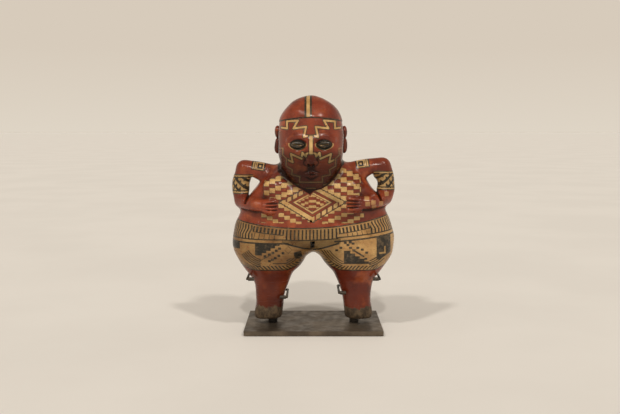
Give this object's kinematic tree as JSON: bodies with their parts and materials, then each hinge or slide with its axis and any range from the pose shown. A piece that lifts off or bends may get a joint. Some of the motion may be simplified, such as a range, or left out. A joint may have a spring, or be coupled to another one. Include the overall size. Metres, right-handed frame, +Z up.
{
  "type": "ceramic standing figure on a display mount",
  "caption": "Hollow slip-painted earthenware figure, hands on its belly, held by a steel base with foot posts, rear uprights and swinging clips.",
  "frame": {"origin": "on the ground under the middle of the base plate", "axes": "+Z up; the figure faces -Y; +X is the figure's own left, the viewer's right"},
  "size_m": [0.228, 0.12, 0.324],
  "materials": {
    "patinated_steel": "satin",
    "black_rubber": "matte",
    "screw_steel": "satin",
    "clip_brass": "satin",
    "sleeve_plastic": "satin",
    "red_slip": "gloss",
    "cream_slip": "satin",
    "dark_slip": "satin"
  },
  "bodies": {
    "mount": {"base_plate": "patinated_steel", "base_liner": "black_rubber", "plate_screws": "screw_steel", "foot_post_right": "patinated_steel", "foot_post_left": "patinated_steel", "foot_pad_right": "black_rubber", "foot_pad_left": "black_rubber", "upright_right": "patinated_steel", "upright_left": "patinated_steel"},
    "figure": {"leg_right": "cream_slip", "leg_left": "cream_slip", "torso": "red_slip", "arm_right": "red_slip", "arm_left": "red_slip", "head": "red_slip", "ear_right": "red_slip", "ear_left": "red_slip", "nose": "red_slip", "lips": "dark_slip", "eye_right": "dark_slip", "eye_left": "dark_slip"},
    "outer_clip_right": {"outer_clip_right_collar": "patinated_steel", "outer_clip_right_wire": "clip_brass", "outer_clip_right_sleeve": "sleeve_plastic", "outer_clip_right_screw": "screw_steel"},
    "outer_clip_left": {"outer_clip_left_collar": "patinated_steel", "outer_clip_left_wire": "clip_brass", "outer_clip_left_sleeve": "sleeve_plastic", "outer_clip_left_screw": "screw_steel"},
    "inner_clip_right": {"inner_clip_right_collar": "patinated_steel", "inner_clip_right_wire": "clip_brass", "inner_clip_right_sleeve": "sleeve_plastic", "inner_clip_right_screw": "screw_steel"},
    "inner_clip_left": {"inner_clip_left_collar": "patinated_steel", "inner_clip_left_wire": "clip_brass", "inner_clip_left_sleeve": "sleeve_plastic", "inner_clip_left_screw": "screw_steel"}
  },
  "joints": [
    {"name": "figure_lift", "type": "slide", "parent": "mount", "child": "figure", "axis": [0, 0, 1], "range_m": [0, 0.064]},
    {"name": "outer_clip_right_swing", "type": "hinge", "parent": "mount", "child": "outer_clip_right", "pos_m": [-0.063, 0.0303, 0.071], "axis": [0, 0, -1], "range_deg": [0, 75]},
    {"name": "outer_clip_left_swing", "type": "hinge", "parent": "mount", "child": "outer_clip_left", "pos_m": [0.063, 0.0303, 0.071], "axis": [0, 0, 1], "range_deg": [0, 75]},
    {"name": "inner_clip_right_swing", "type": "hinge", "parent": "mount", "child": "inner_clip_right", "pos_m": [-0.063, 0.0303, 0.045], "axis": [0, 0, 1], "range_deg": [0, 75]},
    {"name": "inner_clip_left_swing", "type": "hinge", "parent": "mount", "child": "inner_clip_left", "pos_m": [0.063, 0.0303, 0.051], "axis": [0, 0, -1], "range_deg": [0, 75]}
  ]
}
